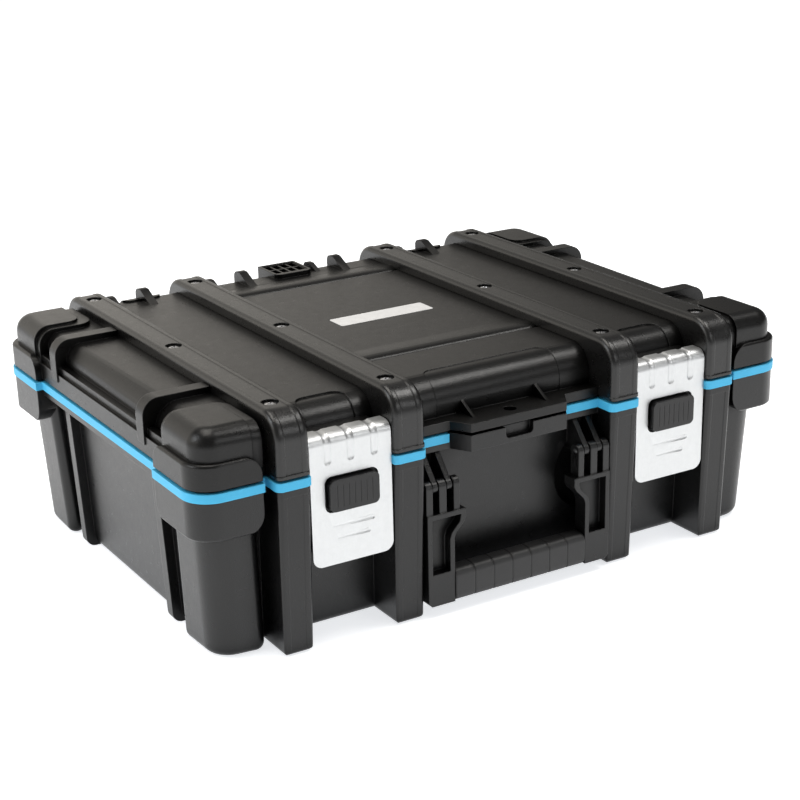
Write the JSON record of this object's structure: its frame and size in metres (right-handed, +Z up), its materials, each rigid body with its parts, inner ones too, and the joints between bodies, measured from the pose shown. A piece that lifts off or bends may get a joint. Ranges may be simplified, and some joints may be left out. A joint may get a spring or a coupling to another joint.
{
  "type": "hard tool case",
  "caption": "Ribbed hard-shell case with hinged lid, screwed-on lid bars, seal band, metal lever latches with push buttons and a swinging carry handle.",
  "frame": {"origin": "on the floor under the middle of the case's outer box", "axes": "+X to the right along the latch side, -Y towards the latches and handle, +Z up"},
  "size_m": [0.5544, 0.4074, 0.1945],
  "materials": {
    "shell_plastic": "fine-grained satin black moulding",
    "bar_plastic": "satin black moulding",
    "button_plastic": "satin black moulding",
    "grip_rubber": "soft matte black",
    "seal_rubber": "satin sky blue",
    "latch_metal": "fine satin",
    "label_metal": "plain satin, left bare",
    "pin_steel": "plain"
  },
  "bodies": {
    "base": {"base_shell": "shell_plastic", "seal_band": "seal_rubber", "hinge_pin_left": "pin_steel", "hinge_pin_right": "pin_steel", "handle_pin_left": "pin_steel", "handle_pin_right": "pin_steel", "latch_pin_left": "pin_steel", "latch_pin_right": "pin_steel"},
    "lid": {"lid_shell": "shell_plastic", "lid_bar_outer_left": "bar_plastic", "lid_bar_inner_left": "bar_plastic", "lid_bar_inner_right": "bar_plastic", "lid_bar_outer_right": "bar_plastic", "bar_screws": "pin_steel", "label_plate": "label_metal"},
    "handle": {"handle_frame": "shell_plastic", "handle_grip": "grip_rubber"},
    "latch_left": {"latch_plate_left": "latch_metal", "latch_carrier_left": "bar_plastic", "button_spring_left": "pin_steel"},
    "button_left": {"button_left": "button_plastic"},
    "latch_right": {"latch_plate_right": "latch_metal", "latch_carrier_right": "bar_plastic", "button_spring_right": "pin_steel"},
    "button_right": {"button_right": "button_plastic"}
  },
  "joints": [
    {"name": "lid_hinge", "type": "hinge", "parent": "base", "child": "lid", "pos_m": [0, 0.1972, 0.14], "axis": [-1, 0, 0], "range_deg": [0, 95]},
    {"name": "handle_swing", "type": "hinge", "parent": "base", "child": "handle", "pos_m": [0, -0.195, 0.108], "axis": [-1, 0, 0], "range_deg": [0, 90]},
    {"name": "latch_left_swing", "type": "hinge", "parent": "base", "child": "latch_left", "pos_m": [-0.1508, -0.191, 0.077], "axis": [1, 0, 0], "range_deg": [0, 90]},
    {"name": "button_left_press", "type": "slide", "parent": "latch_left", "child": "button_left", "axis": [0, 1, 0], "range_m": [0, 0.0025], "stiffness_N_per_m": 400, "springref_m": -0.001, "deforming": ["button_spring_left"]},
    {"name": "latch_right_swing", "type": "hinge", "parent": "base", "child": "latch_right", "pos_m": [0.1508, -0.191, 0.077], "axis": [1, 0, 0], "range_deg": [0, 90]},
    {"name": "button_right_press", "type": "slide", "parent": "latch_right", "child": "button_right", "axis": [0, 1, 0], "range_m": [0, 0.0025], "stiffness_N_per_m": 400, "springref_m": -0.001, "deforming": ["button_spring_right"]}
  ]
}
